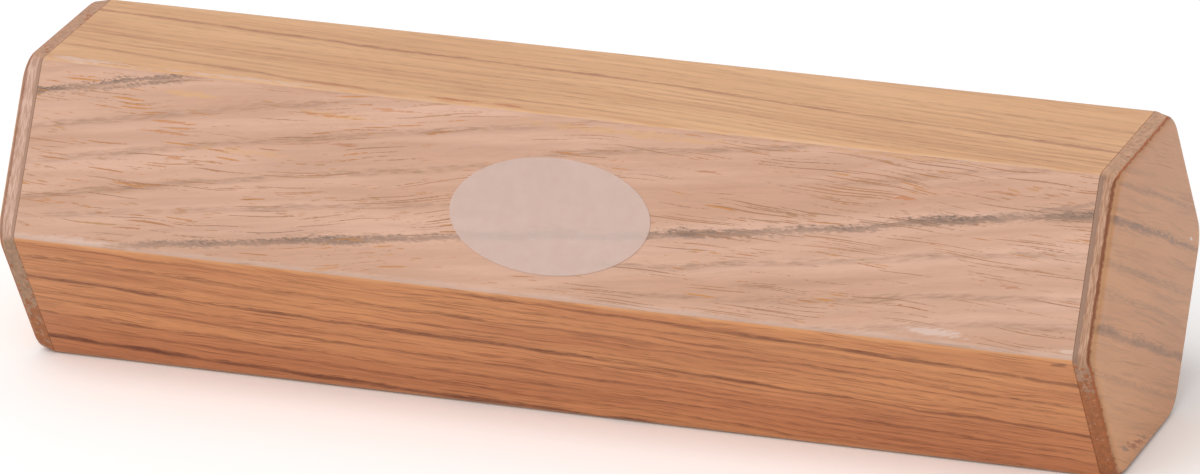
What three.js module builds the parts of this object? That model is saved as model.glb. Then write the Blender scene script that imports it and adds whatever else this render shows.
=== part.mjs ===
// Hexagonal wooden shaker of the ganza kind, lying on one of its flats.
// Six bevelled staves are glued edge to edge into a tube, a plywood cap closes each end,
// and loose steel shot inside makes the sound. A thin blank oval label sits on one flat.
// Millimetres. +X runs along the tube, +Z is up, and the origin is under the middle of the lowest flat.

import * as THREE from "three";

// Tube of six staves
const OVERALL_LENGTH = 200;
const FLAT_WIDTH = 32; // one flat of the hexagon, measured between its sharp corners
const WALL_THICKNESS = 4;
const ARRIS_RADIUS = 1.5; // long edges of the tube, eased by sanding

// End caps, cut from three-ply sheet
const CAP_THICKNESS = 3.6;
const CAP_RIM_RADIUS = 1.5; // roll from the cap's sides to its end face
const CAP_CORNER_RADIUS = 6; // the corners are sanded rounder towards the end face

// Oval label of thin film
const LABEL_LENGTH = 36.5;
const LABEL_HEIGHT = 20.4;
const LABEL_THICKNESS = 0.2;
const LABEL_GLUE = 0.1; // adhesive between the film and the stave
const LABEL_ALONG = 0.7; // from the middle of the tube, towards +X
const LABEL_ABOVE_MIDDLE = -1.6; // from the middle of the flat, towards its upper edge

// Loose shot: each ball has a lane of its own across the tube
const SHOT_DIAMETER = 4.5;
const SHOT_GAP = 0.3; // clearance to the floor and to the side walls
const LANE_GAP = 0.6; // clearance between the balls of neighbouring lanes

// Facets
const ARRIS_STEPS = 2; // doubled by the arc, for each half of an eased edge
const RIM_STEPS = 4;
const LABEL_STEPS = 24;
const SHOT_DETAIL = 2;

// A hexagon's corner lies this much further out than its flat
const SIXTH_TURN = Math.PI / 3;
const HALF_TURN_OF_FLAT = SIXTH_TURN / 2;
const CORNER_PER_FLAT = 1 / Math.cos(HALF_TURN_OF_FLAT);

// Sizes worked out from the driving ones
const tubeLength = OVERALL_LENGTH - 2 * CAP_THICKNESS;
const apothem = (FLAT_WIDTH / 2) * Math.sqrt(3); // tube axis to a flat, and the height of the axis
const chamberApothem = apothem - WALL_THICKNESS;
const chamberFlatWidth = (2 * chamberApothem) / Math.sqrt(3);

// Staves in order round the tube, anticlockwise as seen from +X, with the colour of each board
const STAVES = [
  { name: "stave_back_upper", colour: 0xcc9d77 },
  { name: "stave_top", colour: 0xd4a781 },
  { name: "stave_front_upper", colour: 0xd5a88e },
  { name: "stave_front_lower", colour: 0xbd7b55 },
  { name: "stave_bottom", colour: 0xc28e68 },
  { name: "stave_back_lower", colour: 0xc08560 },
];

function satinWood(colour) {
  return new THREE.MeshStandardMaterial({ color: colour, roughness: 0.5, metalness: 0 });
}

function polar(radius, angle) {
  return new THREE.Vector2(radius * Math.cos(angle), radius * Math.sin(angle));
}

// Centre of the rounding at a corner, for a hexagon whose flats lie at the given distance from the axis
function cornerCentre(flatDistance, radius, angle) {
  return polar((flatDistance - radius) * CORNER_PER_FLAT, angle);
}

// Section of one stave, in the plane across the tube. Its two mitres lie on the planes
// through the axis and the corners, and half of each eased edge belongs to it.
function staveSection(index) {
  const firstAngle = index * SIXTH_TURN;
  const lastAngle = (index + 1) * SIXTH_TURN;
  const firstInner = polar(chamberApothem * CORNER_PER_FLAT, firstAngle);
  const lastInner = polar(chamberApothem * CORNER_PER_FLAT, lastAngle);
  const firstEdge = cornerCentre(apothem, ARRIS_RADIUS, firstAngle);
  const lastEdge = cornerCentre(apothem, ARRIS_RADIUS, lastAngle);
  const middleAngle = firstAngle + HALF_TURN_OF_FLAT;
  const section = new THREE.Shape();
  section.moveTo(lastInner.x, lastInner.y);
  section.lineTo(firstInner.x, firstInner.y);
  section.absarc(firstEdge.x, firstEdge.y, ARRIS_RADIUS, firstAngle, middleAngle);
  section.absarc(lastEdge.x, lastEdge.y, ARRIS_RADIUS, middleAngle, lastAngle);
  section.closePath();
  return section;
}

function makeStave(index) {
  const geometry = new THREE.ExtrudeGeometry(staveSection(index), {
    depth: tubeLength,
    bevelEnabled: false,
    curveSegments: ARRIS_STEPS,
  });
  const stave = new THREE.Mesh(geometry, satinWood(STAVES[index].colour));
  stave.name = STAVES[index].name;
  stave.position.z = -tubeLength / 2;
  return stave;
}

// One closed outline of an end cap: a hexagon set in from the tube's flats, with rounded corners
function capOutline(inset, cornerRadius) {
  const outline = [];
  const stepsPerCorner = 4 * ARRIS_STEPS;
  for (let corner = 0; corner < 6; corner += 1) {
    const angle = corner * SIXTH_TURN;
    const centre = cornerCentre(apothem - inset, cornerRadius, angle);
    for (let step = 0; step <= stepsPerCorner; step += 1) {
      const turn = angle - HALF_TURN_OF_FLAT + (SIXTH_TURN * step) / stepsPerCorner;
      outline.push(polar(cornerRadius, turn).add(centre));
    }
  }
  return outline;
}

// Rings of a cap from its seat on the staves, flush with the tube, over the rolled rim to its end face
function capRings() {
  const rings = [{ height: 0, outline: capOutline(0, ARRIS_RADIUS) }];
  for (let step = 0; step <= RIM_STEPS; step += 1) {
    const turn = (Math.PI / 2) * (step / RIM_STEPS);
    const height = CAP_THICKNESS - CAP_RIM_RADIUS * (1 - Math.sin(turn));
    const inset = CAP_RIM_RADIUS * (1 - Math.cos(turn));
    const cornerRadius = ARRIS_RADIUS + (CAP_CORNER_RADIUS - ARRIS_RADIUS) * (height / CAP_THICKNESS);
    rings.push({ height, outline: capOutline(inset, cornerRadius) });
  }
  return rings;
}

// Loft through the rings, closed by a flat fan at the seat and at the end face
function capGeometry() {
  const rings = capRings();
  const count = rings[0].outline.length;
  const positions = [];
  for (const ring of rings) {
    for (const point of ring.outline) {
      positions.push(point.x, point.y, ring.height);
    }
  }
  const triangles = [];
  for (let ring = 0; ring + 1 < rings.length; ring += 1) {
    for (let point = 0; point < count; point += 1) {
      const here = ring * count + point;
      const next = ring * count + ((point + 1) % count);
      triangles.push(here, next, next + count, here, next + count, here + count);
    }
  }
  const last = (rings.length - 1) * count;
  for (let point = 1; point + 1 < count; point += 1) {
    triangles.push(0, point + 1, point);
    triangles.push(last, last + point, last + point + 1);
  }
  const geometry = new THREE.BufferGeometry();
  geometry.setAttribute("position", new THREE.Float32BufferAttribute(positions, 3));
  geometry.setIndex(triangles);
  geometry.computeVertexNormals();
  return geometry;
}

function makeEndCap(name) {
  const cap = new THREE.Mesh(capGeometry(), satinWood(0xba9079));
  cap.name = name;
  cap.position.z = tubeLength / 2;
  return cap;
}

function makeLabel() {
  const oval = new THREE.Shape();
  oval.absellipse(0, 0, LABEL_LENGTH / 2, LABEL_HEIGHT / 2, 0, 2 * Math.PI);
  const geometry = new THREE.ExtrudeGeometry(oval, {
    depth: LABEL_THICKNESS,
    bevelEnabled: false,
    curveSegments: LABEL_STEPS,
  });
  const film = new THREE.MeshStandardMaterial({
    color: 0xd4b7ab,
    roughness: 0.4,
    metalness: 0,
    transparent: true,
    opacity: 0.5,
  });
  const label = new THREE.Mesh(geometry, film);
  label.name = "oval_label";
  label.position.set(LABEL_ALONG, LABEL_ABOVE_MIDDLE, apothem + LABEL_GLUE);
  return label;
}

// The balls lie in one layer on the chamber's floor, one to a lane. Golden-ratio steps scatter them
// between the two side walls, which stop a ball where the sloping wall comes within its gap.
function makeShot() {
  const radius = SHOT_DIAMETER / 2;
  const lanePitch = SHOT_DIAMETER + LANE_GAP;
  const laneCount = Math.floor(tubeLength / lanePitch);
  const firstLane = (-lanePitch * (laneCount - 1)) / 2;
  const reach = chamberFlatWidth / 2 - (radius + SHOT_GAP) / Math.sqrt(3);
  const goldenStep = (Math.sqrt(5) - 1) / 2;
  const balls = [];
  for (let lane = 0; lane < laneCount; lane += 1) {
    const steel = new THREE.MeshStandardMaterial({ color: 0x9a9ca0, roughness: 0.3, metalness: 1 });
    const ball = new THREE.Mesh(new THREE.IcosahedronGeometry(radius, SHOT_DETAIL), steel);
    const scatter = 2 * (((lane + 1) * goldenStep) % 1) - 1;
    ball.name = `shot_${String(lane + 1).padStart(2, "0")}`;
    ball.position.set(firstLane + lane * lanePitch, reach * scatter, WALL_THICKNESS + SHOT_GAP + radius);
    balls.push(ball);
  }
  return balls;
}

// Sections are drawn across the tube: their first axis becomes +Y, their second +Z, and depth +X
const tube = new THREE.Group();
tube.quaternion.set(0.5, 0.5, 0.5, 0.5);
tube.position.z = apothem;
for (let index = 0; index < STAVES.length; index += 1) {
  tube.add(makeStave(index));
}
tube.add(makeEndCap("end_cap_right"));

// The left cap is the same piece turned half round about the upright
const leftEnd = new THREE.Group();
leftEnd.rotation.y = Math.PI;
leftEnd.add(makeEndCap("end_cap_left"));
tube.add(leftEnd);

// The label's own plane is turned from the top flat to the upper front one
const upperFrontFlat = new THREE.Group();
upperFrontFlat.position.z = apothem;
upperFrontFlat.rotation.x = SIXTH_TURN;
upperFrontFlat.add(makeLabel());

const shaker = new THREE.Group();
shaker.add(tube, upperFrontFlat, ...makeShot());

export default shaker;
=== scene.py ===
# Hexagonal wooden shaker, dressed for a studio picture. Metres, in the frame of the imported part:
# +X along the tube, +Z up, origin under the middle of the flat that the shaker lies on.
import math
from functools import partial

import bpy
from mathutils import Matrix, Quaternion, Vector


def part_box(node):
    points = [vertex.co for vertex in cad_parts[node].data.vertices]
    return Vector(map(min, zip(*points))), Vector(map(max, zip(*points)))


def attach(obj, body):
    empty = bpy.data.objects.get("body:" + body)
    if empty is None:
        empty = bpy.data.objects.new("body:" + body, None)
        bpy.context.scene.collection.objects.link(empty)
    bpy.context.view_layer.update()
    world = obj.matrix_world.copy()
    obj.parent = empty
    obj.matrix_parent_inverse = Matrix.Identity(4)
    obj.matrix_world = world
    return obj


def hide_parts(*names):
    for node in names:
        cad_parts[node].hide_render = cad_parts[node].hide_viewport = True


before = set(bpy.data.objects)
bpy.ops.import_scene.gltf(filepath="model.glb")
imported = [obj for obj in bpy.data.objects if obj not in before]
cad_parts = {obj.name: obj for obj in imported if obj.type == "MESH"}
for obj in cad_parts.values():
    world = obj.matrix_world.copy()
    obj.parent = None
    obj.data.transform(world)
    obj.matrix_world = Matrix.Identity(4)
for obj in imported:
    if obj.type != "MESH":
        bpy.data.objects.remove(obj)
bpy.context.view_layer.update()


# Staves
# Six boards of an open-pored hardwood much like ash, planed flat, bevelled to 30 degrees and glued
# edge to edge round the chamber. The long edges were eased by hand with abrasive paper after gluing,
# which left them slightly uneven and rubbed pale, and the whole was sprayed with a satin lacquer.
MM = 0.001
SIXTH_TURN = math.radians(60)
FLAT_SLOPE = math.tan(SIXTH_TURN / 2)  # half a flat's width, as a share of its distance from the axis
top_low, top_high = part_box("stave_top")
tube_length = top_high.x - top_low.x
wall = top_high.z - top_low.z
apothem = top_high.z / 2  # from the tube's axis to a flat, and the height of the axis
EDGE_RADIUS = 1.5 * MM
EDGE_WEAR = 0.22 * MM  # most that the paper took off a long edge
WEAR_LENGTH = 26 * MM  # along an edge, from one high spot to the next
EDGE_STEPS = 6  # facets of a stave's half of an eased edge
SECTION_SPACING = 2 * MM
SHARP_FROM = math.radians(35)  # edges that turn more than this stay sharp


def add_node(tree, kind, inputs=(), operation=None, **settings):
    """Adds one node. A kind such as "Math" is short for "ShaderNodeMath". Inputs go by name, or are listed in
    the order of the live sockets: a Map Range has its value, the range it comes from and the one it goes to.
    Each is a plain value, a socket, or a node whose first live output is meant. An operation may follow."""
    made = tree.nodes.new(kind if "Node" in kind else "ShaderNode" + kind)
    if operation:
        made.operation = operation
    for name, value in settings.items():
        setattr(made, name, value)
    if not isinstance(inputs, dict):
        live = [number for number, socket in enumerate(made.inputs) if socket.enabled]
        inputs = dict(zip(live, inputs))
    for key, value in inputs.items():
        if isinstance(value, bpy.types.Node):
            value = next(socket for socket in value.outputs if socket.enabled)
        if isinstance(value, bpy.types.NodeSocket):
            tree.links.new(value, made.inputs[key])
        else:
            made.inputs[key].default_value = value
    return made


def shape_tree(name, sizes):
    """An empty Geometry Nodes tree, the function that adds nodes to it, and its inputs of the given kinds."""
    tree = bpy.data.node_groups.new(name, "GeometryNodeTree")
    for size, kind in sizes.items():
        tree.interface.new_socket(name=size, in_out="INPUT", socket_type="NodeSocket" + kind)
    tree.interface.new_socket(name="Geometry", in_out="OUTPUT", socket_type="NodeSocketGeometry")
    add = partial(add_node, tree)
    return tree, add, add("NodeGroupInput").outputs


def end_shape_tree(add, shape, material):
    """Makes a shape's instances real, gives it its material and hands it out of its tree."""
    realized = add("GeometryNodeRealizeInstances", {"Geometry": shape})
    dressed = add("GeometryNodeSetMaterial", {"Geometry": realized, "Material": material})
    add("NodeGroupOutput", {"Geometry": dressed})


def put_in_scene(name, data):
    """A new object at the origin."""
    made = bpy.data.objects.new(name, data)
    bpy.context.scene.collection.objects.link(made)
    return made


def grow(tree, name, sizes):
    """Runs a shape tree once with the given sizes and keeps the result as a plain mesh."""
    piece = put_in_scene(name, bpy.data.meshes.new(name))
    shape = piece.modifiers.new("shape", "NODES")
    shape.node_group = tree
    for socket in tree.interface.items_tree:
        if socket.name in sizes:
            shape[socket.identifier] = sizes[socket.name]
    evaluated = piece.evaluated_get(bpy.context.evaluated_depsgraph_get())
    mesh = bpy.data.meshes.new_from_object(evaluated)
    piece.modifiers.remove(shape)
    piece.data = mesh
    return piece


def smooth_but_for_corners(mesh):
    """Smooth shading that keeps corners sharp."""
    for face in mesh.polygons:
        face.use_smooth = True
    mesh.set_sharp_from_angle(angle=SHARP_FROM)


def stave_section(add, size):
    """A stave's outline, out along +Y, and how far from its middle the eased edges begin and end."""
    # Points run from one inner corner over the flat to the other, and mirror about the middle of the flat.
    # By their steps from there they are a support point, the eased edge and the inner corner.
    half_count = EDGE_STEPS + 3
    points = add("GeometryNodeMeshLine", {"Count": 2 * half_count})
    number = add("GeometryNodeInputIndex")
    from_middle = add("Math", [number, half_count - 0.5], "SUBTRACT")
    side = add("Math", [from_middle], "SIGN")
    step = add("Math", [from_middle], "ABSOLUTE")
    edge_angle = add("MapRange", [step, 1.5, EDGE_STEPS + 1.5, 0.0, SIXTH_TURN / 2])
    edge_sine = add("Math", [edge_angle], "SINE")
    edge_cosine = add("Math", [edge_angle], "COSINE")
    radius = size["Edge radius"]
    centre_out = add("Math", [size["Apothem"], radius], "SUBTRACT")
    centre_aside = add("Math", [centre_out, FLAT_SLOPE], "MULTIPLY")
    edge_aside = add("Math", [radius, edge_sine, centre_aside], "MULTIPLY_ADD")
    edge_out = add("Math", [radius, edge_cosine, centre_out], "MULTIPLY_ADD")
    # The support point beside the edge keeps the shading of the flat flat
    on_flat = add("Math", [step, 1.0], "LESS_THAN")
    outer_aside = add("Math", [on_flat, -EDGE_RADIUS, edge_aside], "MULTIPLY_ADD")
    inner_out = add("Math", [size["Apothem"], size["Wall"]], "SUBTRACT")
    inner_aside = add("Math", [inner_out, FLAT_SLOPE], "MULTIPLY")
    is_inner = add("Math", [step, EDGE_STEPS + 2.0], "GREATER_THAN")
    aside = add("GeometryNodeSwitch", [is_inner, outer_aside, inner_aside], input_type="FLOAT")
    out = add("GeometryNodeSwitch", [is_inner, edge_out, inner_out], input_type="FLOAT")
    signed_aside = add("Math", [side, aside], "MULTIPLY")
    section_point = add("CombineXYZ", [signed_aside, out])
    section = add("GeometryNodeSetPosition", {"Geometry": points, "Position": section_point})
    section = add("GeometryNodeMeshToCurve", {"Mesh": section})
    section = add("GeometryNodeSetSplineCyclic", {"Geometry": section, "Cyclic": True})
    mitre_sine = math.sin(SIXTH_TURN / 2)
    mitre_aside = add("Math", [radius, mitre_sine, centre_aside], "MULTIPLY_ADD")
    return section, centre_aside, mitre_aside


def stave_tree():
    """Sweeps a stave's section along the tube, wears its long edges and turns it to its place."""
    tree, add, size = shape_tree("mitred_stave", {
        "Length": "Float", "Apothem": "Float", "Wall": "Float", "Edge radius": "Float", "Edge wear": "Float",
        "Turn": "Float", "Sections": "Int", "Wood": "Material"})
    section, edge_begins, edge_ends = stave_section(add, size)
    # The sweep runs along +Z, and a third of a turn about the cube's diagonal lays it along +X
    half_length = add("Math", [size["Length"], 0.5], "MULTIPLY")
    start = add("VectorMath", [(0.0, 0.0, -1.0), half_length], "SCALE")
    end = add("VectorMath", [(0.0, 0.0, 1.0), half_length], "SCALE")
    rail = add("GeometryNodeCurvePrimitiveLine", {"Start": start, "End": end})
    rail = add("GeometryNodeResampleCurve", {"Curve": rail, "Count": size["Sections"]})
    stave = add("GeometryNodeCurveToMesh", {"Curve": rail, "Profile Curve": section, "Fill Caps": True})
    # How far round an eased edge each point lies, kept from before the stave is turned
    here = add("GeometryNodeInputPosition")
    apart = add("SeparateXYZ", [here])
    reach = add("Math", [apart.outputs["X"]], "ABSOLUTE")
    roundness = add("MapRange", [reach, edge_begins, edge_ends])
    kept = add("GeometryNodeStoreNamedAttribute", {
        "Geometry": stave, "Name": "edge", "Value": roundness}, data_type="FLOAT", domain="POINT")
    laid = add("GeometryNodeTransform", {
        "Geometry": kept, "Rotation": Matrix(((0, 0, 1), (1, 0, 0), (0, 1, 0))).to_euler()})
    turn = add("CombineXYZ", [size["Turn"]])
    turned = add("GeometryNodeTransform", {"Geometry": laid, "Rotation": turn})
    # Neighbours share the wear along a mitre, because it is read from the place in the tube
    outward = add("VectorMath", [here, (0.0, 1.0, 1.0)], "MULTIPLY")
    outward = add("VectorMath", [outward], "NORMALIZE")
    unevenness = add("TexNoise", {"Vector": here, "Scale": 1 / WEAR_LENGTH, "Detail": 2.0})
    edge = add("GeometryNodeInputNamedAttribute", {"Name": "edge"}, data_type="FLOAT")
    taken = add("Math", [unevenness, edge], "MULTIPLY")
    taken = add("Math", [taken, size["Edge wear"]], "MULTIPLY")
    taken = add("Math", [taken, -1.0], "MULTIPLY")
    offset = add("VectorMath", [outward, taken], "SCALE")
    worn = add("GeometryNodeSetPosition", {"Geometry": turned, "Offset": offset})
    height = add("CombineXYZ", {"Z": size["Apothem"]})
    raised = add("GeometryNodeTransform", {"Geometry": worn, "Translation": height})
    end_shape_tree(add, raised, size["Wood"])
    return tree


def linear(colour):
    """An sRGB hex colour as linear red, green, blue and alpha."""
    channels = [int(colour[at:at + 2], 16) / 255 for at in (1, 3, 5)]
    return [c / 12.92 if c <= 0.04045 else ((c + 0.055) / 1.055) ** 2.4 for c in channels] + [1.0]


# Wood figure, in millimetres on the board: x along it and y across it from its middle, z out of it.
# A pattern's size is given in that order. Noise runs from 0 to 1, most of it between 0.35 and 0.65.
SOFT = {"interpolation_type": "SMOOTHSTEP"}  # for a Map Range that starts and ends softly
BOARD_HALF = 100.0
ACROSS_HALF = 24.0  # furthest that a main line may lie from the middle
FADE = 4.0  # over which a growth line comes and goes at its ends
LINE_FULL = 0.3  # a line is full to this share of its half-width
LINE_GONE = 1.5  # and gone at this one
RING_DRIFT = (45.0, 14.0, 14.0)  # slow bends of the rings
RING_RIPPLE = (12.0, 3.0, 3.0)  # quick ones
TONE_BAND = (70.0, 10.0)  # length and depth of a band of one tone
RING_BAND = (30.0, 6.0)  # of a close ring
STREAK = (16.0, 0.6, 1.0)  # bundles of fibres, drawn coarser than single ones so that they show
FLECK = (2.6, 0.32, 0.6)  # short ones between them, coarser too
LINE_PATCH = (16.0, 3.0, 3.0)  # stretches of a line that are strong or weak
LINE_GRAIN = (2.2, 0.3, 0.3)  # grains that a bold line is made of
PORE_CROWD = (24.0, 3.5, 3.0)  # places where pores crowd
PORE_SWAY = 6.0  # how far pores bend with the rings
PORE_BORDER = 0.12  # softness of a pore's edge, as a share of its cell
BAND_VEINED = 6.0  # how fast the pores of a band take the vein's colour
MARK_RAG = 4.0  # how far flecks break up a mark's border
EDGE_RAG = (11.0, 5.0, 5.0)  # bays in the border of a rubbed edge
EDGE_RAG_REACH = 2.6  # how far they reach in
RUB_FROM = 16.2  # from the middle of the flat, with the bays
RUB_BORDER = 1.0
SATIN = 0.46  # roughness of the lacquer
DULL = 0.62  # and where it sank into the wood
PORE_SUNK = 0.05 * MM  # dip of the lacquer over a pore
PORE_BUMP = 0.5  # share of it that shows


def mottling(add, place, size, seed, detail=2.0):
    """Noise with patches of about the given size along x, y and z of the place."""
    scaled = add("VectorMath", [place, size], "DIVIDE")
    return add("TexNoise", {
        "Vector": scaled, "W": seed, "Scale": 1.0, "Detail": detail, "Roughness": 0.6}, noise_dimensions="4D")


def swayed(add, value, noise, reach):
    """The value, moved by the noise up to about the given reach either way."""
    shift = add("MapRange", [noise, 0.0, 1.0, -reach, reach], clamp=False)
    return add("Math", [value, shift], "ADD")


def growth_lines(add, ring, along, lines, thinness=1.0):
    """Darkness of single growth lines. A line is given by where it crosses the middle of the board,
    measured from the board's main line, its rise for each millimetre along, where it starts and ends,
    its half-width and its depth of colour. It is narrower where the thinness is above 1."""
    place = add("CombineXYZ", [ring, along, 1.0])
    darkness = 0.0
    for crossing, rise, first, last, half_width, depth in lines:
        away = add("VectorMath", [place, (1.0, -rise, -crossing)], "DOT_PRODUCT")
        away = add("Math", [away], "ABSOLUTE")
        away = add("Math", [away, thinness], "MULTIPLY")
        line = add("MapRange", [away, LINE_FULL * half_width, LINE_GONE * half_width, depth, 0.0], **SOFT)
        if first > -BOARD_HALF:
            begun = add("MapRange", [along, first - FADE, first + FADE])
            line = add("Math", [line, begun], "MULTIPLY")
        if last < BOARD_HALF:
            left = add("MapRange", [along, last + FADE, last - FADE])
            line = add("Math", [line, left], "MULTIPLY")
        darkness = add("Math", [line, darkness], "MAXIMUM")
    return darkness


def line_across(add, along, points):
    """How far across the board a curve through the points lies, at each place along it."""
    share = add("MapRange", [along, -BOARD_HALF, BOARD_HALF])
    curve = add("FloatCurve", {"Value": share})
    path = curve.mapping.curves[0].points
    while len(path) < len(points):
        path.new(0.5, 0.5)
    for knot, (x, y) in zip(path, points):
        knot.location = ((x + BOARD_HALF) / (2 * BOARD_HALF), (y + ACROSS_HALF) / (2 * ACROSS_HALF))
    curve.mapping.update()
    return add("MapRange", [curve, 0.0, 1.0, -ACROSS_HALF, ACROSS_HALF])


def open_pores(add, along, across, ring, grain, number, board):
    """Darkness and tint of one layer of open pores, each a thin dash inside a cell of its own. They crowd
    in some places, and along the upper side of the main line on a board with such a band."""
    length, width, rise, least, most, thinned, gather, depth, tint, dark_tint = board["pores"][number]
    leaning = add("Math", [along, -rise, across], "MULTIPLY_ADD")
    place = add("CombineXYZ", [along, leaning, board["seed"] + number + 0.5])
    cells = add("VectorMath", [place, (length, width, 1.0)], "DIVIDE")
    pore = add("TexVoronoi", {"Vector": cells, "Scale": 1.0})
    kind = add("SeparateColor", [pore.outputs["Color"]])
    crowd = mottling(add, place, PORE_CROWD, board["seed"] + 0.1 * number, 1.0)
    crowd = add("Math", [along, gather, crowd], "MULTIPLY_ADD")
    size = add("MapRange", [crowd, 0.36, 0.64, least, most])
    above = add("MapRange", [ring, -0.8, 0.8, 0.0, board.get("pore_band", 0.0)])
    fading = add("MapRange", [ring, 6.0, 1.5])
    beside = add("Math", [above, fading], "MULTIPLY")
    size = add("Math", [beside, size], "ADD")
    spared = add("MapRange", [kind.outputs["Green"], 0.0, 1.0, 0.0, thinned])
    size = add("Math", [size, spared], "SUBTRACT")
    size = swayed(add, size, grain, board.get("pore_break", 0.0))
    inside = add("Math", [size, pore.outputs["Distance"]], "SUBTRACT")
    darkness = add("MapRange", [inside, 0.0, PORE_BORDER, 0.0, depth], **SOFT)
    colour = add("Mix", [kind.outputs["Red"], linear(tint), linear(dark_tint)], data_type="RGBA")
    veined = add("Math", [beside, BAND_VEINED], "MULTIPLY")
    colour = add("Mix", [veined, colour, linear(board["vein"])], data_type="RGBA")
    return darkness, colour


def marks(add, here, colour, fleck, spots):
    """Lays small stains and scuffs over a colour. Each has its place along and across the board, half-length,
    half-width, tint and depth, and a border broken up by the flecks of the wood."""
    for along, across, half_length, half_width, tint, depth in spots:
        away = add("VectorMath", [here, (along, across, 0.0)], "SUBTRACT")
        away = add("VectorMath", [away, (1 / half_length, 1 / half_width, 0.0)], "MULTIPLY")
        away = add("VectorMath", [away], "LENGTH")
        broken = add("Math", [fleck, MARK_RAG, away], "MULTIPLY_ADD")
        mark = add("MapRange", [broken, 1.0 + MARK_RAG / 2, 0.5 + MARK_RAG / 2, 0.0, depth], **SOFT)
        colour = add("Mix", [mark, colour, linear(tint)], data_type="RGBA")
    return colour


def plain_wood(add, with_grain, across, fibre, board):
    """Colour of the wood between its lines: bands of tone, fibres, and close rings broken up by them."""
    tone_length, tone_deep = TONE_BAND
    tone = mottling(add, with_grain, (tone_length, board["tone_width"], tone_deep), board["seed"] + 1.0)
    # A board's lean of tone across it is painted light and shade by height, not a tone of the wood
    tone = add("Math", [across, board.get("light_and_shade_lean", 0.0), tone], "MULTIPLY_ADD")
    tone = add("MapRange", [tone, 0.3, 0.7], **SOFT)
    colour = add("Mix", [tone, linear(board["pale"]), linear(board["deep"])], data_type="RGBA")
    darkest = 1.0 - board["fibre_depth"]
    lightest = 1.0 + 0.7 * board["fibre_depth"]
    light = add("MapRange", [fibre, 0.35, 0.65, darkest, lightest])
    colour = add("VectorMath", [colour, light], "SCALE")
    ring_length, ring_deep = RING_BAND
    close = mottling(add, with_grain, (ring_length, board["ring_width"], ring_deep), board["seed"] + 4.0, 3.0)
    close = add("Math", [fibre, 0.45, close], "MULTIPLY_ADD")
    close = add("MapRange", [close, 0.71, 0.93, 0.0, board["ring_depth"]], **SOFT)
    return add("Mix", [close, colour, linear(board["vein"])], data_type="RGBA")


def lined_wood(add, colour, here, along, ring, fibre, fleck, grain, board):
    """The colour with its soft and bold lines. Soft ones are frayed by the fibres. Bold ones are rows of
    pores, so they are ragged and grainy too, and narrower in places."""
    frayed = swayed(add, ring, fibre, board["fray"])
    patchy = mottling(add, here, LINE_PATCH, board["seed"] + 5.0)
    strength = add("MapRange", [patchy, 0.34, 0.6, 0.5, 1.15])
    broken = add("MapRange", [fleck, 0.38, 0.6, 1.3, 0.45])
    strength = add("Math", [strength, broken], "MULTIPLY")
    soft = growth_lines(add, frayed, along, board["soft_lines"])
    soft = add("Math", [soft, strength], "MULTIPLY")
    soft_vein = board.get("soft_vein", board["vein"])
    colour = add("Mix", [soft, colour, linear(soft_vein)], data_type="RGBA")
    ragged = swayed(add, frayed, grain, board["ragged"])
    grainy = add("MapRange", [grain, 0.36, 0.6, 1.08, 0.68])
    uneven = add("MapRange", [patchy, 0.38, 0.58, 0.7, 1.1])
    grainy = add("Math", [grainy, uneven], "MULTIPLY")
    thinness = add("MapRange", [patchy, 0.38, 0.6, board.get("thinnest", 1.7), 0.75])
    bold = growth_lines(add, ragged, along, board["bold_lines"], thinness)
    bold = add("Math", [bold, grainy], "MULTIPLY")
    return add("Mix", [bold, colour, linear(board["vein"])], data_type="RGBA")


def wood_figure(add, here, board):
    """Colour and pore depth of a board at each place in its own frame."""
    seed = board["seed"]
    apart = add("SeparateXYZ", [here])
    along, across, out = apart.outputs["X"], apart.outputs["Y"], apart.outputs["Z"]

    # Growth rings wander a little either side of the main line, and fibres follow them
    drift = mottling(add, here, RING_DRIFT, seed)
    ripple = mottling(add, here, RING_RIPPLE, seed + 9.0, 1.0)
    main_line = line_across(add, along, board["main_line"])
    ring = add("Math", [across, main_line], "SUBTRACT")
    ring = swayed(add, ring, drift, board["wander"])
    ring = swayed(add, ring, ripple, board["ripple"])
    with_grain = add("CombineXYZ", [along, ring, out])
    streak = mottling(add, with_grain, STREAK, seed + 2.0, 3.0)
    fleck = mottling(add, with_grain, FLECK, seed + 3.0, 3.0)
    fibre = add("Mix", [0.5, streak, fleck])
    colour = plain_wood(add, with_grain, across, fibre, board)
    grain_size = (board.get("stipple", LINE_GRAIN[0]), *LINE_GRAIN[1:])
    grain = mottling(add, here, grain_size, seed + 6.0, 4.0)
    colour = lined_wood(add, colour, here, along, ring, fibre, fleck, grain, board)

    # Pores lie nearly along the board, and sway a little with the rings
    sway = add("Math", [drift, PORE_SWAY, across], "MULTIPLY_ADD")
    if "pore_line" in board:
        pore_line = line_across(add, along, board["pore_line"])
        sway = add("Math", [sway, pore_line], "SUBTRACT")
    open_depth = 0.0
    for number in range(len(board["pores"])):
        pores, pore_colour = open_pores(add, along, sway, ring, grain, number, board)
        colour = add("Mix", [pores, colour, pore_colour], data_type="RGBA")
        open_depth = add("Math", [pores, open_depth], "MAXIMUM")
    return marks(add, here, colour, fleck, board.get("marks", [])), open_depth


def fresh_nodes(owner):
    """Empties the node tree of a new material or world, and gives the function that adds nodes to it."""
    owner.use_nodes = True
    owner.node_tree.nodes.clear()
    return partial(add_node, owner.node_tree)


def board_place(add, location, rotation=(0.0, 0.0, 0.0), facing=1):
    """The place on a piece in the millimetres of a board's own frame, with x turned round if it faces -1."""
    point = add("TexCoord").outputs["Object"]
    scale = (facing * MM, MM, MM)
    return add("Mapping", {"Vector": point, "Location": location, "Rotation": rotation, "Scale": scale},
               vector_type="TEXTURE")


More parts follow.
